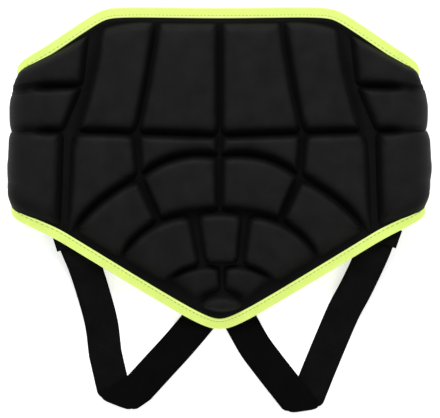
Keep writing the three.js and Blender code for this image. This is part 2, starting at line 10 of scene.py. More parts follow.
import bmesh
import bpy
import numpy as np
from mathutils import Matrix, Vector


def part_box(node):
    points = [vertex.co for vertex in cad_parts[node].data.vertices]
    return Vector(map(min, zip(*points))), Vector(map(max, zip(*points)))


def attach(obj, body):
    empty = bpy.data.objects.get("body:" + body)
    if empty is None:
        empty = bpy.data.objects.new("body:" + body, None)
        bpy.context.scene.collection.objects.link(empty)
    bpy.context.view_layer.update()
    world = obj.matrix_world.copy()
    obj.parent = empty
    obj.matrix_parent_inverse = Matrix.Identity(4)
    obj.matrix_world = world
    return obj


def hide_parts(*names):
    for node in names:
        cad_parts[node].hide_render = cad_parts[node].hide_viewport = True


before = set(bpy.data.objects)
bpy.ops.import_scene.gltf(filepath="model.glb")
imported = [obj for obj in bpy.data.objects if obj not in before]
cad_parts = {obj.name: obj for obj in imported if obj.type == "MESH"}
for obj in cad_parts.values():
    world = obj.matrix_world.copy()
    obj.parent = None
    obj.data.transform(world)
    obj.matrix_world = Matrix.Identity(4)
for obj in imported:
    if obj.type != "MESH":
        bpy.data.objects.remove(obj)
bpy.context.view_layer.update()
MM = 0.001

# Sizes of the pattern, in millimetres
PAD_WIDTH = 381.0
PAD_HEIGHT = 289.0
BASE_THICK = 4.0
BLOCK_HEIGHT = 11.0
TIP_BLOCK_HEIGHT = 7.0
BEND_RADIUS = 10.0
BEND_START = math.radians(7.0)
TOP_CORNER = 105.0
TOP_SLOPE = 0.695
TOP_SCOOP = 1.4
TOP_ROUNDING = 10.0
LOWER_SLOPE = 0.619
LOWER_ROUNDING = 16.7
SEAM_RUN = 6.0
WING_TOP = 92.0
WING_BOTTOM = 160.0
WING_BLEND = 14.0
WING_OVERLAP = 80.0
WING_STEP_RUN = 26.0
WING_STEP_MARGIN = 4.0
BINDING_WIDTH = 9.5
BINDING_WALL = 1.0
BINDING_BACK = 2.0
BINDING_PLAY = 0.4
FLANGE = 6.5
GROOVE = 5.0
HINGE_UPPER = 11.0
HINGE_LOWER = 15.0
CLOSURE_LENGTH = 62.0
CLOSURE_WIDTH = 44.0
CLOSURE_THICK = 1.5
STRAP_WIDTH = 30.0
STRAP_THICK = 2.0
STRAP_HANG = 112.0
TAB_WIDTH = 36.0
TAB_THICK = 1.5
TAB_LENGTH = 17.0
LIFT_DROOP = 0.14
CLEARANCE = 0.3
BLOCK_CLEARANCE = 0.8
TAB_CLEARANCE = 0.8
SEAM_GAP = 0.1
REACH_SHARE = 0.72

# What follows from them
HALF_WIDTH = PAD_WIDTH / 2
OUTER_RADIUS = BEND_RADIUS + BASE_THICK + BLOCK_HEIGHT
BEND_REACH = BEND_RADIUS + BASE_THICK
BEND_HEIGHT = BASE_THICK + BEND_RADIUS
BEND_CENTRE = HALF_WIDTH - OUTER_RADIUS
BEND_FROM = BEND_CENTRE + BEND_RADIUS * math.sin(BEND_START)
BEND_TO = BEND_FROM + (math.pi - BEND_START) * BEND_REACH
WING_SEAM = BEND_TO + SEAM_RUN
WING_RUN = BEND_CENTRE + WING_OVERLAP / 2
WING_STEP_TO = WING_RUN - WING_OVERLAP - WING_STEP_MARGIN
WING_STEP_FROM = WING_STEP_TO - WING_STEP_RUN
WING_TIP = BEND_TO + WING_RUN
CLOSURE_GAP = CLOSURE_THICK + 2 * CLEARANCE
EDGE_GAP = BINDING_WIDTH + FLANGE
REACH_FROM = HALF_WIDTH * REACH_SHARE
SMALL_STEP = 0.05
SHARE_STEP = 0.02
LEAST_SLANT = 0.35
TINY = 1e-12

# How far the folded sides reach, as shares of the half width, at shares of the pad height
SIDE_REACH = {
    "down": (0.0, 0.1, 0.2, 0.24, 0.277, 0.315, 0.39, 0.427, 0.464, 0.5, 0.54, 0.63, 0.72, 1.0),
    "left": (1.0, 1.0, 1.018, 0.997, 0.987, 0.994, 0.993, 0.998, 1.0, 1.004, 1.003, 1.046, 1.015, 1.0),
    "right": (1.0, 1.0, 1.006, 0.982, 0.979, 0.986, 0.984, 0.998, 1.0, 1.004, 0.998, 1.034, 1.01, 1.0),
}
LIFT_FROM = 0.25
LIFT_TO = 0.5

# Where the grooves meet: shares of the half width, and of the pad height below the top or the named edge
Junction = namedtuple("Junction", "across down edge", defaults=(None,))
JUNCTIONS = {
    "top_mid": Junction(0.0, 0.0, "top"),
    "top_divider": Junction(0.284, 0.0, "top"),
    "top_hinge": Junction(0.585, 0.0, "top"),
    "side_top": Junction(1.0, -0.03, "top"),
    "hinge_step": Junction(0.625, 0.248),
    "side_step": Junction(1.0, 0.252),
    "hinge_row": Junction(0.715, 0.388),
    "side_row": Junction(1.0, 0.388),
    "divider_row": Junction(0.39, 0.394),
    "mid_row": Junction(0.0, 0.403),
    "hinge_low": Junction(0.731, 0.0, "bottom"),
    "side_low": Junction(1.0, 0.03, "bottom"),
    "knee": Junction(0.373, 0.53),
    "mid_a": Junction(0.0, 0.467),
    "edge_b": Junction(0.505, 0.0, "bottom"),
    "spoke_b": Junction(0.281, 0.665),
    "mid_b": Junction(0.0, 0.634),
    "seat_b": Junction(0.127, 0.64),
    "edge_c": Junction(0.321, 0.0, "bottom"),
    "seat_c": Junction(0.089, 0.8),
    "mid_c": Junction(0.0, 0.802),
    "edge_d": Junction(0.236, 0.0, "bottom"),
    "mid_d": Junction(0.0, 0.88),
}

# Grooves that bow, as shares of their own length
Bow = namedtuple("Bow", "start end bow")
BOWS = [
    Bow("top_hinge", "top_divider", 0.05),
    Bow("top_hinge", "hinge_row", 0.03),
    Bow("top_divider", "divider_row", 0.012),
    Bow("knee", "mid_a", 0.12),
    Bow("hinge_low", "knee", 0.08),
    Bow("spoke_b", "mid_b", 0.06),
    Bow("edge_b", "spoke_b", 0.09),
    Bow("edge_b", "seat_b", 0.16),
    Bow("edge_c", "seat_c", 0.13),
    Bow("edge_c", "mid_c", 0.17),
]

# How far the foot of a block flares beyond its solid, or is set back from it
EDGE_FLARE = 2.2
SLANT_FLARE = 1.8
ARC_FLARE = 2.2
SPOKE_FLARE = 1.3
UPPER_FLARE = 2.5
LOWER_FLARE = 4.4
HINGE_SET_BACK = 2.0
TIP_SET_BACK = 1.5

# Kinds of side: the gap to the groove's middle or the edge, and how much wider than usual the roll is
Side = namedtuple("Side", "gap roll")
SIDES = {
    "edge": Side(EDGE_GAP - EDGE_FLARE, 1.15),
    "tail": Side(EDGE_GAP - EDGE_FLARE, 1.7),
    "slant": Side(EDGE_GAP - SLANT_FLARE, 2.2),
    "tip_slant": Side(EDGE_GAP + TIP_SET_BACK, 1.7),
    "arc": Side(GROOVE / 2 - ARC_FLARE, 1.0),
    "edge_arc": Side(GROOVE / 2 - ARC_FLARE, 1.5),
    "spoke": Side(GROOVE / 2 - SPOKE_FLARE, 0.85),
    "upper": Side(HINGE_UPPER / 2 - UPPER_FLARE, 1.1),
    "inward": Side(HINGE_UPPER / 2 + HINGE_SET_BACK, 1.1),
    "lower": Side(HINGE_LOWER / 2 - LOWER_FLARE, 1.35),
    "open": Side(0.0, 0.29),
}

# How much wider the roll is again on a block's north, east, south and west sides
SIDE_ROLLS = (0.85, 1.0, 1.4, 1.0)

# The bow of the seat block's top, and how the lowest blocks lean to one side
SEAT_BOW = 2.2
FAN_SKEW = 2.4
SKEW_FROM = 0.58
SKEW_RUN = 0.3
SKEW_REACH = 45.0

# Blocks of the left half: corners by junction, and the kinds of their north, east, south and west sides
Block = namedtuple("Block", "name nw ne se sw sides corner height end_drop",
                   defaults=(14.0, BLOCK_HEIGHT, 0.0))
BLOCKS = [
    Block("upper_outer_block", "top_hinge", "top_divider", "divider_row", "hinge_row",
          ("edge", "arc", "arc", "inward")),
    Block("upper_inner_block", "top_divider", "top_mid", "mid_row", "divider_row",
          ("edge", "arc", "arc", "arc")),
    Block("side_top_block", "side_top", "top_hinge", "hinge_step", "side_step",
          ("edge", "upper", "arc", "open"), end_drop=0.1),
    Block("side_upper_block", "side_step", "hinge_step", "hinge_row", "side_row",
          ("arc", "upper", "arc", "open")),
    Block("side_lower_block", "side_row", "hinge_row", "hinge_low", "side_low",
          ("arc", "lower", "tail", "open")),
    Block("middle_outer_block", "hinge_row", "divider_row", "knee", "hinge_low",
          ("arc", "spoke", "arc", "lower"), 8.0),
    Block("middle_inner_block", "divider_row", "mid_row", "mid_a", "knee",
          ("arc", "spoke", "arc", "spoke"), 18.0),
    Block("fan_outer_block", "hinge_low", "knee", "spoke_b", "edge_b",
          ("arc", "spoke", "arc", "slant"), 9.0),
    Block("fan_upper_block", "knee", "mid_a", "mid_b", "spoke_b",
          ("arc", "spoke", "arc", "spoke"), 18.0),
    Block("fan_lower_block", "edge_b", "seat_b", "seat_c", "edge_c",
          ("arc", "spoke", "arc", "slant"), 9.0),
    Block("fan_tip_block", "edge_c", "mid_c", "mid_d", "edge_d",
          ("arc", "spoke", "edge_arc", "tip_slant"), 8.0, TIP_BLOCK_HEIGHT),
]
MiddleBlock = namedtuple("MiddleBlock", "name top bottom start end corner height gap bow rolls")
MIDDLE_BLOCKS = [
    MiddleBlock("seat_block", 0.115, 0.085, 0.637, 0.8, 8.0, BLOCK_HEIGHT, SIDES["spoke"].gap,
                SEAT_BOW, (0.85, 0.85, 1.4, 0.85)),
    MiddleBlock("tip_block", 0.107, 0.107, 0.886, 0.951, 2.0, TIP_BLOCK_HEIGHT, 1.0,
                0.0, (1.0, 1.0, 1.0, 1.0)),
]

# Middle lines of the leg straps: shares of the half width and the pad height, and layers above the floor
StrapRow = namedtuple("StrapRow", "across down layer fold", defaults=(False,))
STRAP_ROWS = {
    "left": [
        (-0.705, 0.688, 0.0),
        (-0.68, 0.741, 0.0),
        (-0.641, 0.804, 0.0),
        (-0.604, 0.879, 0.0),
        (-0.562, 0.983, 0.0),
        (-0.543, 1.081, 0.0),
        (-0.489, 1.237, 0.0, True),
        (-0.38, 1.187, 1.0),
        (-0.283, 1.117, 0.6),
        (-0.194, 1.053, 0.3),
        (-0.104, 0.983, 0.8),
        (-0.073, 0.957, 0.8),
    ],
    "right": [
        (0.776, 0.676, 0.0),
        (0.756, 0.713, 0.0),
        (0.724, 0.769, 0.0),
        (0.653, 0.87, 0.0),
        (0.59, 0.949, 0.0),
        (0.527, 1.045, 0.0),
        (0.466, 1.142, 0.0),
        (0.398, 1.255, 0.0, True),
        (0.29, 1.165, 1.0),
        (0.225, 1.11, 0.6),
        (0.164, 1.055, 0.3),
        (0.1, 0.98, 0.8),
        (0.07, 0.945, 0.8),
    ],
}
STRAPS = {side: [StrapRow(*row) for row in rows] for side, rows in STRAP_ROWS.items()}

# Where the pattern's zero lies in the frame, from the closure patch that both hold
PATCH_LOW, PATCH_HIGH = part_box("closure_patch")
PATCH_CENTRE = np.array([0.0, -(WING_TOP + WING_BOTTOM) / 2, BASE_THICK + CLEARANCE + CLOSURE_THICK / 2])
SHIFT = np.array((PATCH_LOW + PATCH_HIGH) / 2) - PATCH_CENTRE * MM


def smooth_step(share):
    t = np.clip(share, 0.0, 1.0)
    return t * t * (3.0 - 2.0 * t)


def soft_max(a, b, blend):
    return (a + b + np.hypot(a - b, blend)) / 2


def soft_min(a, b, blend):
    return (a + b - np.hypot(a - b, blend)) / 2


def read_table(table, column, down):
    """The column's value at shares of the height, eased from row to row."""
    places = np.array(table["down"])
    values = np.array(table[column])
    down = np.clip(down, places[0], places[-1])
    after = np.clip(np.searchsorted(places, down), 1, len(places) - 1)
    share = smooth_step((down - places[after - 1]) / (places[after] - places[after - 1]))
    return values[after - 1] + (values[after] - values[after - 1]) * share


def top_edge(across):
    ramp = TOP_SLOPE * soft_max(np.abs(across) - TOP_CORNER, 0.0, TOP_ROUNDING)
    scoop = TOP_SCOOP * smooth_step(1.0 - np.abs(across) / TOP_CORNER)
    return soft_min(ramp, WING_TOP, WING_BLEND) + scoop


def bottom_edge(across):
    point = PAD_HEIGHT + LOWER_SLOPE * LOWER_ROUNDING
    return soft_max(point - LOWER_SLOPE * np.hypot(across, LOWER_ROUNDING), WING_BOTTOM, WING_BLEND)


EDGES = {"top": top_edge, "bottom": bottom_edge}


def lift_at(down):
    """How much of the full lift is left at a depth below the top."""
    share = down / PAD_HEIGHT
    above = np.maximum(0.0, LIFT_FROM - share) / LIFT_FROM
    below = np.maximum(0.0, share - LIFT_TO) / (1.0 - LIFT_TO)
    return np.maximum(0.0, 1.0 - LIFT_DROOP * above**2 - below**2)


def inner_face(across, down):
    """Crowned across the back, rolled round each side, and flat on the floor as the wings."""
    across, down = np.broadcast_arrays(np.asarray(across, float), np.asarray(down, float))
    side = np.where(across < 0, -1.0, 1.0)
    run = np.abs(across)
    angle = BEND_START + (run - BEND_FROM) / BEND_REACH
    wing_run = (angle - math.pi) * BEND_REACH
    crown = math.tan(BEND_START) / (2 * BEND_FROM) * (BEND_FROM**2 - run**2)
    on_back = run <= BEND_FROM
    on_bend = ~on_back & (angle < math.pi)
    x = np.where(on_back, run, np.where(on_bend, BEND_CENTRE + BEND_RADIUS * np.sin(angle),
                                        BEND_CENTRE - wing_run))
    z = np.where(on_back, BEND_HEIGHT + BEND_RADIUS * math.cos(BEND_START) + crown,
                 np.where(on_bend, BEND_HEIGHT + BEND_RADIUS * np.cos(angle), BASE_THICK))
    z = BASE_THICK + (z - BASE_THICK) * lift_at(down)
    step = (BASE_THICK + CLOSURE_GAP) * smooth_step((wing_run - WING_STEP_FROM) / WING_STEP_RUN)
    z = z + np.where(side < 0, step, 0.0)
    share = down / PAD_HEIGHT
    reaches = [read_table(SIDE_REACH, column, share) for column in ("left", "right")]
    reach = HALF_WIDTH * (np.where(side < 0, *reaches) - 1.0)
    x = x + reach * smooth_step((run - REACH_FROM) / (BEND_FROM - REACH_FROM))
    return np.stack([x * side, -down, z], axis=-1)


def place(across, down, out):
    """Points of the worn layer, out from the inner face, in millimetres."""
    span_across = inner_face(across + SMALL_STEP, down) - inner_face(across - SMALL_STEP, down)
    span_down = inner_face(across, down + SMALL_STEP) - inner_face(across, down - SMALL_STEP)
    normal = np.cross(span_down, span_across)
    normal /= np.linalg.norm(normal, axis=-1, keepdims=True)
    return inner_face(across, down) + normal * np.asarray(out)[..., None]


def edge_point(edge, across, inset):
    """Pattern points in from an edge, square to it."""
    line = EDGES[edge]
    slope = (line(across + SMALL_STEP) - line(across - SMALL_STEP)) / (2 * SMALL_STEP)
    inward = np.stack([-slope, np.ones_like(slope)], axis=-1)
    inward /= np.linalg.norm(inward, axis=-1, keepdims=True)
    if edge == "bottom":
        inward = -inward
    base = np.stack([across, line(across)], axis=-1)
    return base + inward * np.asarray(inset)[..., None]


def add_object(name, data):
    made = bpy.data.objects.new(name, data)
    bpy.context.scene.collection.objects.link(made)
    return made


def add_piece(name, points, faces, pattern, share=None):
    """A closed mesh with its normals out, its pattern coordinates, and a share per point that the
    materials turn into painted shade, painted highlight or a face's tone.
    """
    mesh = bpy.data.meshes.new(name)
    mesh.from_pydata((np.asarray(points) * MM + SHIFT).tolist(), [], faces)
    shape = bmesh.new()
    shape.from_mesh(mesh)
    bmesh.ops.recalc_face_normals(shape, faces=shape.faces)
    shape.to_mesh(mesh)
    shape.free()
    coords = mesh.attributes.new("pattern", "FLOAT_VECTOR", "POINT")
    coords.data.foreach_set("vector", np.asarray(pattern, np.float32).reshape(-1))
    height = mesh.attributes.new("height_share", "FLOAT", "POINT")
    values = np.ones(len(points)) if share is None else np.asarray(share)
    height.data.foreach_set("value", values.astype(np.float32).reshape(-1))
    mesh.shade_smooth()
    return add_object(name, mesh)


def finish_piece(piece, material, nodes):
    piece.data.materials.append(material)
    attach(piece, "root")
    if nodes:
        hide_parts(*nodes)
    return piece


def grid_faces(rows, columns, offset=0, wrap=False):
    """Quads between neighbouring points of a grid whose points run row by row."""
    across = columns if wrap else columns - 1
    faces = []
    for row in range(rows - 1):
        for column in range(across):
            a = offset + row * columns + column
            b = offset + row * columns + (column + 1) % columns
            faces.append((a, b, b + columns, a + columns))
    return faces


# Finishes: colours are linear light, and pitches and bump depths are in millimetres
KNIT_TONE = 0.0088
KNIT_PITCH = 0.9
KNIT_TURN = 0.6
KNIT_BUMP = 0.08
# Painted shade by share: on the sheet's groove floors and beside the binding, and down the blocks' flanks
PANEL_PAINTED_SHADE = [(0.0, 0.08), (0.55, 0.45), (1.0, 1.0)]
BLOCK_PAINTED_SHADE = [(0.0, 0.12), (0.55, 0.3), (0.94, 1.0)]
ELASTIC_TONES = [(0.3, (0.29, 0.37, 0.08)), (0.7, (0.34, 0.41, 0.1))]
# Painted highlight along the binding's rims and round its edge
ELASTIC_RIM_HIGHLIGHTS = [(0.35, (1.0, 1.0, 1.0)), (0.95, (1.4, 1.25, 3.0))]
# Painted light: the binding glows though it is no lamp
ELASTIC_PAINTED_GLOW = (0.75, 0.95, 0.19, 1.0)
ELASTIC_PAINTED_GLOW_STRENGTH = 0.585
ELASTIC_PITCHES = (0.8, 1.1)
ELASTIC_BUMP = 0.12
WEBBING_TONES = [(0.3, (0.0022, 0.0022, 0.0023)), (0.7, (0.0042, 0.0042, 0.0044))]
WEBBING_PITCHES = (1.6, 1.25)
WEBBING_BUMP = 0.22
WEBBING_BACK = 0.35
THREAD_TONES = [(0.3, (0.3, 0.45, 0.06)), (0.7, (0.42, 0.6, 0.1))]
THREAD_PITCH = 0.5
THREAD_TURN = 0.7
THREAD_BUMP = 0.05
HOOK_PITCH = 1.0
HOOK_BUMP = 0.4

# How long one band of Blender's wave texture is, at a scale of 1
BAND = math.tau / 20.0


def grey(value):
    return (value, value, value)


def add_node(tree, kind, **settings):
    node = tree.nodes.new(kind)
    for key, value in settings.items():
        setattr(node, key, value)
    return node


class Material:
    """A principled material with a few helpers for its node tree."""

    def __init__(self, name):
        self.material = bpy.data.materials.new(name)
        self.material.use_nodes = True
        self.tree = self.material.node_tree
        self.shader = self.tree.nodes["Principled BSDF"]
        self.pattern = add_node(self.tree, "ShaderNodeAttribute", attribute_name="pattern")
        height = add_node(self.tree, "ShaderNodeAttribute", attribute_name="height_share")
        self.height = height.outputs["Fac"]

    def link(self, source, target):
        self.tree.links.new(source, target)

    def colour(self, source):
        self.link(source, self.shader.inputs["Base Color"])

    def constant(self, socket, value):
        self.shader.inputs[socket].default_value = value

    def noise(self, scale, detail=2.0):
        node = add_node(self.tree, "ShaderNodeTexNoise")
        node.inputs["Scale"].default_value = scale
        node.inputs["Detail"].default_value = detail
        self.link(self.pattern.outputs["Vector"], node.inputs["Vector"])
        return node.outputs["Fac"]

    def bands(self, direction, period, turn=0.0):
        """Sine bands of the given period in millimetres along one pattern direction."""
        mapping = add_node(self.tree, "ShaderNodeMapping")
        mapping.inputs["Rotation"].default_value = (0.0, 0.0, turn)
        self.link(self.pattern.outputs["Vector"], mapping.inputs["Vector"])
        node = add_node(self.tree, "ShaderNodeTexWave", wave_type="BANDS", bands_direction=direction)
        node.inputs["Scale"].default_value = BAND / period
        self.link(mapping.outputs["Vector"], node.inputs["Vector"])
        return node.outputs["Fac"]

    def math(self, operation, a, b):
        node = add_node(self.tree, "ShaderNodeMath", operation=operation)
        for socket, value in zip(node.inputs, (a, b)):
            if isinstance(value, (int, float)):
                socket.default_value = value
            else:
                self.link(value, socket)
        return node.outputs[0]

    def roughness(self, scale, detail, least, span):
        """Roughness that wanders from its least value up over its span."""
        wander = self.math("MULTIPLY_ADD", self.noise(scale, detail), span)
        wander.node.inputs[2].default_value = least
        self.link(wander, self.shader.inputs["Roughness"])

    def ramp(self, factor, stops):
        node = add_node(self.tree, "ShaderNodeValToRGB")
        elements = node.color_ramp.elements
        while len(elements) < len(stops):
            elements.new(0.5)
        for element, (position, colour) in zip(elements, stops):
            element.position = position
            element.color = (*colour, 1.0)
        self.link(factor, node.inputs["Fac"])
        return node.outputs["Color"]

    def multiply(self, a, b):
        """One colour times another."""
        node = add_node(self.tree, "ShaderNodeMix", data_type="RGBA", blend_type="MULTIPLY")
        node.inputs[0].default_value = 1.0
        self.link(a, node.inputs[6])
        self.link(b, node.inputs[7])
        return node.outputs[2]

    def bump(self, height, distance, strength=1.0):
        node = add_node(self.tree, "ShaderNodeBump")
        node.inputs["Strength"].default_value = strength
        node.inputs["Distance"].default_value = distance * MM
        self.link(height, node.inputs["Height"])
        self.link(node.outputs["Normal"], self.shader.inputs["Normal"])


def knit_material(name, depths):
    """Smooth stretch knit: fine courses and wales, a soft mottle, and painted shade in the grooves and
    down the blocks' flanks.
    """
    made = Material(name)
    mottle = made.noise(scale=0.06, detail=3.0)
    tone = made.ramp(mottle, [(0.3, grey(0.8 * KNIT_TONE)), (0.7, grey(1.2 * KNIT_TONE))])
    # Painted shade: darker where the share is low, in the grooves and at the blocks' feet
    depth = made.ramp(made.height, [(share, grey(dim)) for share, dim in depths])
    made.colour(made.multiply(tone, depth))
    made.roughness(scale=0.4, detail=4.0, least=0.5, span=0.15)
    courses = made.bands("X", KNIT_PITCH, KNIT_TURN)
    wales = made.bands("Y", KNIT_PITCH, KNIT_TURN)
    grain = made.math("ADD", made.math("MULTIPLY", courses, wales), made.noise(scale=0.9, detail=3.0))
    made.bump(grain, KNIT_BUMP, strength=0.7)
    made.constant("Specular IOR Level", 0.05)
    made.constant("Sheen Weight", 0.012)
    made.constant("Sheen Roughness", 0.5)
    return made.material


def binding_material():
    """Neon elastic: uneven, ribbed across its run, with painted highlights along both rims and round its
    edge, and painted light that makes it glow.
    """
    made = Material("binding_elastic")
    tone = made.ramp(made.noise(scale=0.12, detail=3.0), ELASTIC_TONES)
    made.colour(made.multiply(tone, made.ramp(made.height, ELASTIC_RIM_HIGHLIGHTS)))
    made.roughness(scale=0.5, detail=3.0, least=0.55, span=0.2)
    across, along = ELASTIC_PITCHES
    ribs = made.math("ADD", made.bands("X", across), made.math("MULTIPLY", made.bands("Y", along), 0.6))
    made.bump(ribs, ELASTIC_BUMP, strength=0.8)
    made.constant("Specular IOR Level", 0.3)
    made.constant("Sheen Weight", 0.1)
    # Painted light as a glow
    made.constant("Emission Color", ELASTIC_PAINTED_GLOW)
    made.constant("Emission Strength", ELASTIC_PAINTED_GLOW_STRENGTH)
    return made.material


def webbing_material():
    """Black webbing: ribs across its run, threads along it, and darker on the face that the fold turns up.
    """
    made = Material("strap_webbing")
    tone = made.ramp(made.noise(scale=0.05, detail=4.0), WEBBING_TONES)
    rib_pitch, thread_pitch = WEBBING_PITCHES
    threads = made.bands("Y", thread_pitch)
    weave = made.math("ADD", made.bands("X", rib_pitch), made.math("MULTIPLY", threads, 0.7))
    shade = made.ramp(weave, [(0.2, grey(0.6)), (1.0, grey(1.25))])
    faces = made.ramp(made.height, [(0.0, grey(WEBBING_BACK)), (1.0, grey(1.0))])
    made.colour(made.multiply(made.multiply(tone, faces), shade))
    made.bump(made.math("ADD", weave, made.noise(scale=1.5)), WEBBING_BUMP, strength=0.9)
    made.constant("Roughness", 0.8)
    made.constant("Specular IOR Level", 0.05)
    return made.material


def thread_material():
    """Sewing thread in the binding's colour, with its twist."""
    made = Material("binding_thread")
    made.colour(made.ramp(made.noise(scale=0.3), THREAD_TONES))
    made.bump(made.bands("X", THREAD_PITCH, THREAD_TURN), THREAD_BUMP)
    made.constant("Roughness", 0.6)
    return made.material


def hook_material():
    """Hook tape: a dense field of tiny hooks."""
    made = Material("hook_tape")
    hooks = made.math("MULTIPLY", made.bands("X", HOOK_PITCH), made.bands("Y", HOOK_PITCH))
    made.colour(made.ramp(hooks, [(0.1, grey(0.006)), (0.8, grey(0.03))]))
    made.bump(hooks, HOOK_BUMP)
    made.constant("Roughness", 0.7)
    return made.material


FABRIC = knit_material("panel_knit", PANEL_PAINTED_SHADE)
FOAM_COVER = knit_material("block_knit", BLOCK_PAINTED_SHADE)
BINDING = binding_material()
WEBBING = webbing_material()
THREAD = thread_material()
HOOKS = hook_material()


# Foam blocks
def junction(name):
    across, down, edge = JUNCTIONS[name]
    x = -across * HALF_WIDTH
    base = EDGES[edge](x) if edge else 0.0
    return np.array([x, base + down * PAD_HEIGHT])


def arch(share):
    """0 at both ends and 1 halfway."""
    return 4 * share * (1 - share)


def side_point(start, end, share):
    """One side of a block, bowed as its groove is, at shares of the way along."""
    turn = 0.0
    for row in BOWS:
        if (row.start, row.end) == (start, end):
            turn = row.bow
        elif (row.start, row.end) == (end, start):
            turn = -row.bow
    a = junction(start)
    span = junction(end) - a
    lift = turn * arch(share)
    square = np.array([span[1], -span[0]])
    return a + share[..., None] * span + lift[..., None] * square


def patch_point(block, s, t):
    """Points inside a block's four bowed sides."""
    s, t = np.broadcast_arrays(s, t)
    u = s[..., None]
    v = t[..., None]
    ruled = side_point(block.nw, block.ne, s) * (1 - v) + side_point(block.sw, block.se, s) * v
    ruled = ruled + side_point(block.nw, block.sw, t) * (1 - u) + side_point(block.ne, block.se, t) * u
    corners = junction(block.nw) * (1 - u) * (1 - v) + junction(block.ne) * u * (1 - v)
    corners = corners + junction(block.se) * u * v + junction(block.sw) * (1 - u) * v
    return ruled - corners


def gap_share(gap, near, far, before, after):
    """The share of a block's span that a gap takes at one of its sides, allowing for the slant."""
    span = far - near
    tangent = after - before
    length = np.linalg.norm(span, axis=-1)
    cross = span[..., 0] * tangent[..., 1] - span[..., 1] * tangent[..., 0]
    slant = np.abs(cross) / (length * np.linalg.norm(tangent, axis=-1))
    return gap / (np.maximum(slant, LEAST_SLANT) * length)


def inset_point(block, s, t):
    north, east, south, west = (SIDES[kind].gap for kind in block.sides)

    def at(a, b):
        return patch_point(block, np.asarray(a, float), np.asarray(b, float))

    above = np.maximum(0.0, t - SHARE_STEP)
    below = np.minimum(1.0, t + SHARE_STEP)
    before = np.maximum(0.0, s - SHARE_STEP)
    after = np.minimum(1.0, s + SHARE_STEP)
    s_from = gap_share(west, at(0, t), at(1, t), at(0, above), at(0, below))
    s_to = 1 - gap_share(east, at(1, t), at(0, t), at(1, above), at(1, below))
    t_from = gap_share(north, at(s, 0), at(s, 1), at(before, 0), at(after, 0))
    t_to = 1 - gap_share(south, at(s, 1), at(s, 0), at(before, 1), at(after, 1))
    return at(s_from + (s_to - s_from) * s, t_from + (t_to - t_from) * t)


def round_square(a, b, corner):
    """Pulls points of the square from -1 to 1 into one with rounded corners."""
    ring = np.maximum(np.abs(a), np.abs(b))
    safe = np.where(ring > 0, ring, 1.0)
    reach = (np.abs(a / safe) ** corner + np.abs(b / safe) ** corner) ** (1 / corner)
    return a / reach, b / reach


def outline_distance(points, outline):
    """Distance from pattern points to an open outline."""
    best = np.full(len(points), np.inf)
    for start, span in zip(outline[:-1], np.diff(outline, axis=0)):
        length = span @ span
        if length < TINY:
            continue
        share = np.clip((points - start) @ span / length, 0.0, 1.0)
        away = points - start - share[:, None] * span
        best = np.minimum(best, np.hypot(away[:, 0], away[:, 1]))
    return best


# A block's edge: how wide it rolls over, how full that roll is, and how softly it leaves the panel
ROLL_WIDTH = 8.5
ROLL_FULLNESS = 2.5
FOOT_SOFTNESS = 0.08
CROWN = 0.7
LARGEST_ROLL_SHARE = 0.98
REST_GAP = 0.15
LEAST_HEIGHT_SHARE = 0.2
BLOCK_STEPS = 64
RIDGE_PASSES = 8
END_DROP_FROM = 148.0
END_DROP_RUN = 34.0

# Where the foam is squeezed thick round the bends, the grooves are shallow
GROOVE_FILL = 9.6
FILL_RUN = 22.0
FILL_LATE = 6.0
FILL_PAST = 12.0
FILL_MARGIN = 1.0
FILL_INSET_TOP = 9.0
FILL_INSET_BOTTOM = 26.0
FILL_TOP_SHARE = 0.4
FILL_TOP_FROM = 0.12
FILL_TOP_RUN = 0.16


def groove_fill(across, down):
    """How far the groove floor stands above the sheet, near the bends."""
    run = np.abs(across)
    rise = smooth_step((run - BEND_FROM - FILL_LATE + FILL_RUN) / FILL_RUN)
    fall = 1 - smooth_step((run - HALF_WIDTH) / FILL_PAST)
    inside = smooth_step((down - top_edge(across) - BINDING_WIDTH - FILL_MARGIN) / FILL_INSET_TOP)
    inside = inside * smooth_step((bottom_edge(across) - down - BINDING_WIDTH) / FILL_INSET_BOTTOM)
    lower = smooth_step((down / PAD_HEIGHT - FILL_TOP_FROM) / FILL_TOP_RUN)
    return GROOVE_FILL * rise * fall * inside * (FILL_TOP_SHARE + (1 - FILL_TOP_SHARE) * lower)


def rolled_edge(share):
    """From 0 at the foot to 1 on the plateau, with a soft foot and a full shoulder."""
    t = np.clip(share, 0.0, 1.0)
    soft = t * t / (t + FOOT_SOFTNESS) * (1 + FOOT_SOFTNESS)
    return 1 - (1 - np.clip(soft, 0.0, 1.0)) ** ROLL_FULLNESS


def crowded(steps):
    """Places from -1 to 1 that crowd towards both ends."""
    return np.sin(np.linspace(-math.pi / 2, math.pi / 2, steps))


def soften_ridges(share):
    """Rounds the crests where two rolled edges meet, with the rim kept."""
    share = share.copy()
    for _ in range(RIDGE_PASSES):
        near = share[:-2, 1:-1] + share[2:, 1:-1] + share[1:-1, :-2] + share[1:-1, 2:]
        share[1:-1, 1:-1] = near / 4
    return share


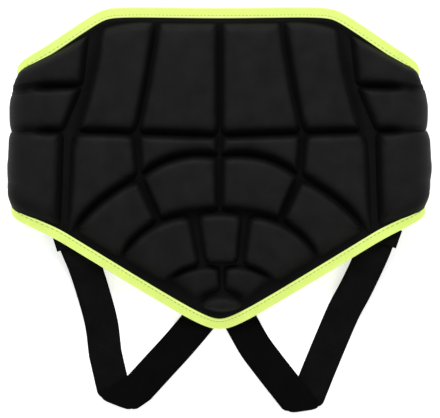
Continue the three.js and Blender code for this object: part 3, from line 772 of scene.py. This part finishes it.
def make_block(name, mirror, corner, height, spot_at, rolls, end_drop=0.0):
    """A pillow that rolls over by its distance from each side, and rests all over on the panel."""
    a, b = np.meshgrid(crowded(BLOCK_STEPS), crowded(BLOCK_STEPS))
    s, t = round_square(a, b, corner)
    spots = spot_at((s + 1) / 2, (t + 1) / 2)
    flat = spots.reshape(-1, 2)
    outlines = (spots[0], spots[:, -1], spots[-1], spots[:, 0])
    depths = [outline_distance(flat, outline) / roll for outline, roll in zip(outlines, rolls)]
    depth = np.min(depths, axis=0)
    widest = min(ROLL_WIDTH, LARGEST_ROLL_SHARE * depth.max())
    share = soften_ridges(rolled_edge(depth / widest).reshape(a.shape)).reshape(-1)
    crown = CROWN * ((1 - s**2) * (1 - t**2)).reshape(-1)
    across = flat[:, 0] * (-1 if mirror else 1)
    skewed = smooth_step((flat[:, 1] / PAD_HEIGHT - SKEW_FROM) / SKEW_RUN)
    across = across + FAN_SKEW * skewed * np.exp(-((across / SKEW_REACH) ** 2))
    fill = groove_fill(across, flat[:, 1])
    dropped = end_drop * smooth_step((np.abs(across) - END_DROP_FROM) / END_DROP_RUN)
    full = (height + BLOCK_CLEARANCE - REST_GAP) * (1 - dropped)
    full = np.maximum(full - fill, LEAST_HEIGHT_SHARE * height)
    foot = BASE_THICK + REST_GAP + fill
    front = place(across, flat[:, 1], foot + (full - CROWN + crown) * share)
    back = place(across, flat[:, 1], foot)
    inner = np.zeros(a.shape, bool)
    inner[1:-1, 1:-1] = True
    inner = inner.reshape(-1)
    back_index = np.arange(len(flat))
    back_index[inner] = len(flat) + np.arange(inner.sum())
    faces = grid_faces(*a.shape)
    faces += [tuple(int(back_index[i]) for i in reversed(face)) for face in faces]
    points = np.concatenate([front, back[inner]])
    pattern = np.column_stack([across, flat[:, 1], share])
    pattern = np.concatenate([pattern, pattern[inner]])
    # The height share also sets the painted shade down the block's flanks
    shares = np.concatenate([share, share[inner]])
    piece = add_piece("cover_" + name, points, faces, pattern, shares)
    finish_piece(piece, FOAM_COVER, [name])
    return piece


def make_blocks():
    for block in BLOCKS:
        rolls = [SIDES[kind].roll * share for kind, share in zip(block.sides, SIDE_ROLLS)]
        for side, mirror in (("left", False), ("right", True)):
            make_block(f"{block.name}_{side}", mirror, block.corner, block.height,
                       lambda s, t: inset_point(block, s, t), rolls, block.end_drop)
    for middle in MIDDLE_BLOCKS:
        def spot_at(s, t):
            half = HALF_WIDTH * (middle.top + (middle.bottom - middle.top) * t) - middle.gap
            low = PAD_HEIGHT * middle.start + middle.gap - middle.bow * arch(s)
            high = PAD_HEIGHT * middle.end - middle.gap
            return np.stack([half * (2 * s - 1), low + (high - low) * t], axis=-1)

        make_block(middle.name, False, middle.corner, middle.height, spot_at, middle.rolls)


# Painted shade on the sheet: how light the floors of the hinges, the narrow grooves and the borders are
# painted, and where the floors fade
OPEN_FLOOR_PAINTED_SHADE = 0.45
NARROW_GROOVE_PAINTED_SHADE = 0.12
HINGE_HALF = 3.0
HINGE_FADE = 5.0
SEAT_HALF = 24.0
SEAT_FADE = 6.0
SEAT_FROM = 0.645
SEAT_RUN = 0.025
BORDER_PAINTED_SHADE = {"top": 0.07, "bottom": 0.36}
BORDER_WIDTH = 4.0
BORDER_FADE = 12.0

# The sheet and its binding
STATION_STEP = 3.0
BEND_STEP = 1.2
SHEET_ROWS = 72


def hinge_share(across, down):
    """1 along the middle of each hinge, fading to 0 beside it."""
    line = np.array([junction(name) for name in ("top_hinge", "hinge_row", "hinge_low")])
    away = np.abs(np.abs(across) + np.interp(down, line[:, 1], line[:, 0]))
    return 1 - smooth_step((away - HINGE_HALF) / HINGE_FADE)


def seat_share(across, down):
    """1 beside the seat block and below it, fading to 0 round them."""
    beside = 1 - smooth_step((np.abs(across) - SEAT_HALF) / SEAT_FADE)
    return beside * smooth_step((down / PAD_HEIGHT - SEAT_FROM) / SEAT_RUN)


def painted_floor_shade(across, down):
    """Painted shade on the sheet's outer face, from dark beside the binding to the groove floors."""
    below_top = down - top_edge(across)
    above_bottom = bottom_edge(across) - down
    inset = np.minimum(below_top, above_bottom) - BINDING_WIDTH
    border = np.where(below_top < above_bottom, BORDER_PAINTED_SHADE["top"], BORDER_PAINTED_SHADE["bottom"])
    lit = np.maximum(hinge_share(across, down), seat_share(across, down))
    floor = NARROW_GROOVE_PAINTED_SHADE + (OPEN_FLOOR_PAINTED_SHADE - NARROW_GROOVE_PAINTED_SHADE) * lit
    tone = border * (1 - np.exp(-np.maximum(inset, 0.0)))
    return tone + (floor - border) * smooth_step((inset - BORDER_WIDTH) / BORDER_FADE)


def stations(start, end):
    """Places along the pattern, closer together round the bends."""
    places = [start]
    while places[-1] < end:
        run = abs(places[-1])
        near_bend = BEND_FROM - STATION_STEP < run < BEND_TO + STATION_STEP
        places.append(places[-1] + (BEND_STEP if near_bend else STATION_STEP))
    places[-1] = end
    return np.array(places)


def sheet_ring(across):
    """Spots and outs of a full sheet with a thin tongue inside each binding, station by station."""
    tongue_out = BINDING_BACK + BINDING_PLAY
    tongue_in = BINDING_WIDTH + BINDING_PLAY
    low = BINDING_WALL + BINDING_PLAY
    high = BASE_THICK - low
    start = edge_point("top", across, tongue_in)
    end = edge_point("bottom", across, tongue_in)
    top = edge_point("top", across, tongue_out)
    bottom = edge_point("bottom", across, tongue_out)
    rows = [start + (end - start) * i / SHEET_ROWS for i in range(SHEET_ROWS + 1)]
    spots = [top, top, start, *rows, end, bottom, bottom, end, *rows[::-1], start]
    outs = [low, high, high, *[BASE_THICK] * len(rows), high, high, low, low, *[0.0] * len(rows), low]
    return np.stack(spots, axis=1), np.array(outs)


# The binding's outer face: how far its rims stand proud, how wide they are, and where they lie
RIM_PROUD = 0.45
RIM_SPREAD = 0.65
RIM_INSET = 1.0
RIM_END_FROM = BEND_FROM + 14.0
RIM_END_RUN = 14.0

# The binding's section
BINDING_STEPS = 16
ROUND_STEPS = 9
ROUND_HIGHLIGHT = 0.6
UNDERSIDE_SHARES = (1.0, 0.6, 0.3)


def rim_height(inset):
    outer = np.exp(-(((inset - RIM_INSET) / RIM_SPREAD) ** 2))
    inner = np.exp(-(((BINDING_WIDTH - RIM_INSET - inset) / RIM_SPREAD) ** 2))
    return outer + inner


def rim_left(across):
    """How much of the rims is left: all over the back, and none where the wings lie on the floor."""
    return 1 - smooth_step((np.abs(across) - RIM_END_FROM) / RIM_END_RUN)


def binding_profile():
    """Insets, outs, rim heights and painted highlight round the binding: underside, edge, face and inside.
    """
    half = BASE_THICK / 2
    rows = [(BINDING_WIDTH * share, 0.0, 0.0, 0.0) for share in UNDERSIDE_SHARES]
    for angle in np.linspace(math.pi, 0.0, ROUND_STEPS):
        inset = BINDING_WALL - BINDING_WALL * math.sin(angle)
        rows.append((inset, half + half * math.cos(angle), 0.0, ROUND_HIGHLIGHT))
    for inset in np.linspace(BINDING_WALL, BINDING_WIDTH, BINDING_STEPS)[1:]:
        proud = RIM_PROUD * (rim_height(inset) - rim_height(BINDING_WIDTH))
        # Each rim's painted highlight follows its height
        rows.append((inset, BASE_THICK, proud, rim_height(inset)))
    for out, insets in ((BASE_THICK - BINDING_WALL, (BINDING_WIDTH, BINDING_BACK)),
                        (BINDING_WALL, (BINDING_BACK, BINDING_WIDTH))):
        rows += [(inset, out, 0.0, 0.0) for inset in insets]
    return np.array(rows).T


def loft(name, points, pattern, shares=None):
    """A closed solid through rings of points, station by station."""
    count, ring = points.shape[:2]
    faces = grid_faces(count, ring, wrap=True)
    faces.append(tuple(range(ring))[::-1])
    faces.append(tuple((count - 1) * ring + i for i in range(ring)))
    share = None if shares is None else shares.reshape(-1)
    return add_piece(name, points.reshape(-1, 3), faces, pattern.reshape(-1, 3), share)


def make_sheet(name, node, start, end):
    spots, outs = sheet_ring(stations(start, end))
    across = spots[..., 0]
    down = spots[..., 1]
    outs = np.broadcast_to(outs, across.shape)
    fill = np.where(outs >= BASE_THICK, groove_fill(across, down), 0.0)
    points = place(across, down, outs + fill)
    pattern = np.stack([across, down, outs], axis=-1)
    # The share carries the painted shade of the sheet's outer face
    shares = np.where(outs >= BASE_THICK, painted_floor_shade(across, down), 1.0)
    piece = loft(name, points, pattern, shares)
    finish_piece(piece, FABRIC, [node])
    return piece


def make_binding(edge):
    across = stations(-WING_TIP, WING_TIP)
    # The shares carry the binding's painted highlight
    insets, outs, rims, shares = binding_profile()
    spots = np.stack([edge_point(edge, across, inset) for inset in insets], axis=1)
    full = outs + rims * rim_left(across)[:, None]
    points = place(spots[..., 0], spots[..., 1], full)
    run = np.broadcast_to(across[:, None], spots.shape[:2])
    pattern = np.stack([run, np.broadcast_to(insets, run.shape), full], axis=-1)
    piece = loft("elastic_" + edge, points, pattern, np.broadcast_to(shares, run.shape))
    return finish_piece(piece, BINDING, ["binding_" + edge])


# Stitches along the binding
STITCH_LENGTH = 2.3
STITCH_PITCH = 3.4
STITCH_RADIUS = 0.3
STITCH_FROM_RIM = 2.2
STITCH_OUT = 0.1
STITCH_END = 0.12
STITCH_SIDES = 6
STITCH_RINGS = 5


def add_stitches(name, starts, ends, ups):
    """Rounded threads from start to end, each lying on the side that its up points to."""
    points = []
    faces = []
    pattern = []
    for start, end, up in zip(starts, ends, ups):
        along = end - start
        length = np.linalg.norm(along)
        along = along / length
        side = np.cross(along, up)
        side /= np.linalg.norm(side)
        offset = len(points)
        for ring in range(STITCH_RINGS):
            share = ring / (STITCH_RINGS - 1)
            radius = STITCH_RADIUS * math.sqrt(max(STITCH_END, 1 - (2 * share - 1) ** 4))
            for i in range(STITCH_SIDES):
                angle = math.tau * i / STITCH_SIDES
                spot = start + along * length * share
                points.append(spot + side * radius * math.cos(angle) + up * radius * math.sin(angle))
                pattern.append((length * share, angle, 0.0))
        faces += grid_faces(STITCH_RINGS, STITCH_SIDES, offset, wrap=True)
        faces.append(tuple(offset + i for i in range(STITCH_SIDES)))
        last = offset + (STITCH_RINGS - 1) * STITCH_SIDES
        faces.append(tuple(last + i for i in reversed(range(STITCH_SIDES))))
    piece = add_piece(name, points, faces, pattern)
    return finish_piece(piece, THREAD, [])


def make_binding_stitches(edge):
    starts_at = np.arange(-RIM_END_FROM, RIM_END_FROM, STITCH_PITCH)
    out = BASE_THICK + STITCH_OUT
    inset = BINDING_WIDTH - STITCH_FROM_RIM

    def on_binding(across, height):
        spot = edge_point(edge, across, inset)
        return place(spot[:, 0], spot[:, 1], height)

    starts = on_binding(starts_at, out)
    ends = on_binding(starts_at + STITCH_LENGTH, out)
    ups = on_binding(starts_at, out + 1.0) - starts
    return add_stitches("stitches_" + edge, starts, ends, ups)


# Straps
ACROSS_STEPS = 12
RUN_STEPS = 8
FOLD_STEPS = 10
FOLD_RUN_STEPS = 12
FOLD_ROUNDING = 4.0
SELVEDGE = 0.975
WIDTH_SHARES = np.array([-1.0, -0.5, 0.0, 0.5, 1.0])


def underside_over(spot, square):
    """The lowest height of the panel's underside over a strap's width, or infinity beyond its edges."""
    spots = spot + square * (WIDTH_SHARES * TAB_WIDTH / 2)[:, None]
    edge = bottom_edge(spots[:, 0])
    heights = inner_face(spots[:, 0], np.minimum(spots[:, 1], edge))[:, 2]
    return np.min(np.where(spots[:, 1] < edge + BINDING_WIDTH, heights, np.inf))


def unit(vector):
    return vector / np.linalg.norm(vector)


def runs_along(spots):
    """How far along their line the spots lie."""
    return np.concatenate([[0.0], np.cumsum(np.linalg.norm(np.diff(spots, axis=0), axis=1))])


def strap_line(rows):
    """The middle line's spots and the height of the lower face at each row."""
    spots = np.array([(row.across * HALF_WIDTH, row.down * PAD_HEIGHT) for row in rows])
    hidden = CLEARANCE + STRAP_THICK
    sewn = hidden + TAB_THICK + TAB_CLEARANCE
    runs = runs_along(spots)
    last = len(spots) - 1

    def square_at(i):
        run = unit(spots[min(i + 1, last)] - spots[max(i - 1, 0)])
        return np.array([run[1], -run[0]])

    start_height = underside_over(spots[0], square_at(0)) - sewn
    heights = []
    for i, row in enumerate(rows):
        hang = start_height * (1 - smooth_step(runs[i] / STRAP_HANG))
        floor = row.layer * (STRAP_THICK + CLEARANCE)
        limit = underside_over(spots[i], square_at(i)) - (sewn if i < len(rows) / 2 else hidden)
        heights.append(min(max(hang, floor), limit))
    return spots, np.array(heights)


def webbing_section():
    """Shares across the width and levels through the thickness, round a section with soft selvedges."""
    over = SELVEDGE * np.linspace(-1.0, 1.0, ACROSS_STEPS)
    shares = [*over, 1.0, *over[::-1], -1.0]
    levels = [*np.zeros(ACROSS_STEPS), 0.5, *np.ones(ACROSS_STEPS), 0.5]
    return np.array(shares), np.array(levels)


def webbing_rings(spots, heights, folds, width, thick):
    """Sections of webbing along its line, turned over on a slanted line where it folds."""
    shares, levels = webbing_section()
    rings = []
    free = []
    flip = 1.0
    last = len(spots) - 1
    for i, (spot, height, fold) in enumerate(zip(spots, heights, folds)):
        into = unit(spot - spots[i - 1]) if i > 0 else unit(spots[1] - spot)
        out = unit(spots[i + 1] - spot) if i < last else into
        if not fold:
            run = unit(into + out)
            square = np.array([run[1], -run[0]]) * flip
            stretch = 1 / abs(run @ out)
            flat = spot + shares[:, None] * square * width * stretch / 2
            level = levels if flip > 0 else 1 - levels
            rings.append(np.column_stack([flat[:, 0], -flat[:, 1], height + thick * level]))
            free.append(True)
            continue
        crease = unit(into + out)
        if crease @ np.array([into[1], -into[0]]) < 0:
            crease = -crease
        length = width / abs(crease[0] * into[1] - crease[1] * into[0])
        away = np.array([-crease[1], crease[0]])
        if away @ into < 0:
            away = -away
        middle = height + thick + CLEARANCE / 2
        radius = CLEARANCE / 2 + thick * (1 - levels)
        bulge = radius * np.sqrt(1 - shares**4)
        for step in range(FOLD_STEPS + 1):
            angle = math.pi * step / FOLD_STEPS
            flat = spot + shares[:, None] * crease * length / 2
            flat = flat + (bulge * math.sin(angle))[:, None] * away
            rings.append(np.column_stack([flat[:, 0], -flat[:, 1], middle - radius * math.cos(angle)]))
            free.append(False)
        flip = -1.0
    return rings, free


def round_corners(ring, fold):
    """Draws in both ends of a section near a fold, which rounds the corners of the turned webbing."""
    shares, _ = webbing_section()
    drawn = ring.copy()
    for side in (-1.0, 1.0):
        end = int(np.argmax(shares * side))
        away = np.hypot(*(ring[end] - fold[end])[:2])
        left = max(0.0, 1 - away / FOLD_ROUNDING)
        pull = FOLD_ROUNDING * (1 - math.sqrt(1 - left**2))
        inward = unit(ring[int(np.argmin(shares * side))] - ring[end])
        drawn += inward * (pull * np.maximum(shares * side, 0.0))[:, None]
    return drawn


def smooth_rings(rings, free):
    """Adds sections between the given ones: curved where the line runs on, straight beside a fold."""
    dense = []
    for i in range(len(rings) - 1):
        a, b = rings[i], rings[i + 1]
        if not (free[i] or free[i + 1]):
            dense.append(round_corners(a, a))
            continue
        if not (free[i] and free[i + 1]):
            for step in range(FOLD_RUN_STEPS):
                run = step / FOLD_RUN_STEPS
                ring = a + (b - a) * (1 - (1 - run) ** 2 if free[i] else run**2)
                dense.append(round_corners(ring, b if free[i] else a))
            continue
        before = rings[i - 1] if i > 0 and free[i - 1] else 2 * a - b
        after = rings[i + 2] if i + 2 < len(rings) and free[i + 2] else 2 * b - a
        tangent_a = (b - before) / 2
        tangent_b = (after - a) / 2
        for step in range(RUN_STEPS):
            t = step / RUN_STEPS
            dense.append((2 * t**3 - 3 * t**2 + 1) * a + (t**3 - 2 * t**2 + t) * tangent_a
                         + (3 * t**2 - 2 * t**3) * b + (t**3 - t**2) * tangent_b)
    dense.append(rings[-1])
    return np.stack(dense)


def make_webbing(name, node, spots, heights, folds, width, thick):
    rings, free = webbing_rings(spots, heights, folds, width, thick)
    points = smooth_rings(rings, free)
    points[..., 2] = np.maximum(points[..., 2], 0.0)
    runs = runs_along(points.mean(axis=1))
    shares, levels = webbing_section()
    run = np.broadcast_to(runs[:, None], points.shape[:2])
    levels = np.broadcast_to(levels, run.shape)
    pattern = np.stack([run, np.broadcast_to(shares * width / 2, run.shape), levels], axis=-1)
    piece = loft(name, points, pattern, levels)
    return finish_piece(piece, WEBBING, [node])


def make_strap(side):
    rows = STRAPS[side]
    spots, heights = strap_line(rows)
    make_webbing("webbing_" + side, "leg_strap_" + side, spots, heights, [row.fold for row in rows],
                 STRAP_WIDTH, STRAP_THICK)
    share = TAB_LENGTH / np.linalg.norm(spots[1] - spots[0])
    rise = STRAP_THICK + TAB_CLEARANCE
    tab_spots = np.array([spots[0], spots[0] + (spots[1] - spots[0]) * share])
    tab_heights = np.array([heights[0], heights[0] + (heights[1] - heights[0]) * share]) + rise
    make_webbing("tab_" + side, "strap_tab_" + side, tab_spots, tab_heights, [False, False],
                 TAB_WIDTH, TAB_THICK)


# The hook patch
CLOSURE_CORNER = 9.0
CLOSURE_COLUMNS = 40
CLOSURE_ROWS = 30


def make_closure():
    """A slab with rounded corners, between the wing ends."""
    a, b = np.meshgrid(np.linspace(-1, 1, CLOSURE_COLUMNS), np.linspace(-1, 1, CLOSURE_ROWS))
    s, t = round_square(a, b, CLOSURE_CORNER)
    x = (s * CLOSURE_LENGTH / 2).reshape(-1)
    y = (t * CLOSURE_WIDTH / 2 - (WING_TOP + WING_BOTTOM) / 2).reshape(-1)
    low = np.full(len(x), BASE_THICK + CLEARANCE)
    rows, columns = a.shape
    count = rows * columns
    points = np.concatenate([np.column_stack([x, y, low + CLOSURE_THICK]), np.column_stack([x, y, low])])
    faces = grid_faces(rows, columns) + [tuple(count + i for i in reversed(face))
                                         for face in grid_faces(rows, columns)]
    rim = [*range(columns - 1), *range(columns - 1, count - 1, columns),
           *range(count - 1, count - columns, -1), *range(count - columns, 0, -columns)]
    faces += [(i, j, count + j, count + i) for i, j in zip(rim, rim[1:] + rim[:1])]
    piece = add_piece("hook_patch", points, faces, points)
    finish_piece(piece, HOOKS, ["closure_patch"])


make_sheet("panel_cover", "back_panel", -WING_SEAM, WING_SEAM)
make_sheet("wing_cover_left", "wing_left", -WING_TIP, -WING_SEAM - SEAM_GAP)
make_sheet("wing_cover_right", "wing_right", WING_SEAM + SEAM_GAP, WING_TIP)
make_blocks()
for edge_name in EDGES:
    make_binding(edge_name)
    make_binding_stitches(edge_name)
for strap_side in STRAPS:
    make_strap(strap_side)
make_closure()


# Floor, light and camera
FRAME_WIDTH = 0.396
VIEW_CENTRE = (0.00045, 0.0016)
VIEW_HEIGHT = 5.0
PLANE_HEIGHT = 0.03
SENSOR = 36.0
CLIP_SHARE = 4.0
FLOOR_REACH = 4.0
FLOOR_COLOUR = (0.93, 0.93, 0.93, 1.0)
FLOOR_GLOW = 0.55
Lamp = namedtuple("Lamp", "name place size watts")
LAMPS = [
    Lamp("key", (-0.3, 2.6, 2.4), 1.8, 104.0),
    Lamp("fill", (0.9, -1.1, 1.6), 1.6, 7.5),
]

# The studio's walls are pale up to one height, and its ceiling dim from another
SKY_PALE_TO = 0.15
SKY_DIM_FROM = 0.65
SKY_DIM = 0.5
SKY_STRENGTH = 0.9


def make_floor():
    corners = [(-FLOOR_REACH, -FLOOR_REACH, 0), (FLOOR_REACH, -FLOOR_REACH, 0),
               (FLOOR_REACH, FLOOR_REACH, 0), (-FLOOR_REACH, FLOOR_REACH, 0)]
    mesh = bpy.data.meshes.new("floor")
    mesh.from_pydata(corners, [], [(0, 1, 2, 3)])
    material = bpy.data.materials.new("pale_floor")
    material.use_nodes = True
    shader = material.node_tree.nodes["Principled BSDF"]
    shader.inputs["Base Color"].default_value = FLOOR_COLOUR
    shader.inputs["Roughness"].default_value = 0.9
    shader.inputs["Specular IOR Level"].default_value = 0.1
    shader.inputs["Emission Color"].default_value = (1.0, 1.0, 1.0, 1.0)
    shader.inputs["Emission Strength"].default_value = FLOOR_GLOW
    mesh.materials.append(material)
    add_object("floor", mesh)


def add_lamp(lamp):
    """A round soft lamp that faces the origin."""
    data = bpy.data.lights.new(lamp.name, "AREA")
    data.shape = "DISK"
    data.size = lamp.size
    data.energy = lamp.watts
    light = add_object(lamp.name, data)
    light.location = lamp.place
    light.rotation_mode = "QUATERNION"
    light.rotation_quaternion = (-Vector(lamp.place)).to_track_quat("-Z", "Y")


def make_studio():
    for lamp in LAMPS:
        add_lamp(lamp)
    world = bpy.data.worlds.new("studio")
    world.use_nodes = True
    tree = world.node_tree
    direction = add_node(tree, "ShaderNodeTexCoord")
    split = add_node(tree, "ShaderNodeSeparateXYZ")
    sky = add_node(tree, "ShaderNodeValToRGB")
    stops = ((SKY_PALE_TO, 1.0), (SKY_DIM_FROM, SKY_DIM))
    for element, (height, light) in zip(sky.color_ramp.elements, stops):
        element.position = height
        element.color = (*grey(light), 1.0)
    tree.links.new(direction.outputs["Generated"], split.inputs["Vector"])
    tree.links.new(split.outputs["Z"], sky.inputs["Fac"])
    tree.links.new(sky.outputs["Color"], tree.nodes["Background"].inputs["Color"])
    tree.nodes["Background"].inputs["Strength"].default_value = SKY_STRENGTH
    bpy.context.scene.world = world
    bpy.context.scene.view_settings.view_transform = "Standard"


def make_camera():
    data = bpy.data.cameras.new("camera")
    data.sensor_fit = "HORIZONTAL"
    data.sensor_width = SENSOR
    data.lens = SENSOR * (VIEW_HEIGHT - PLANE_HEIGHT) / FRAME_WIDTH
    data.clip_end = CLIP_SHARE * VIEW_HEIGHT
    camera = add_object("camera", data)
    camera.location = (*VIEW_CENTRE, VIEW_HEIGHT)
    bpy.context.scene.camera = camera


make_floor()
make_studio()
make_camera()
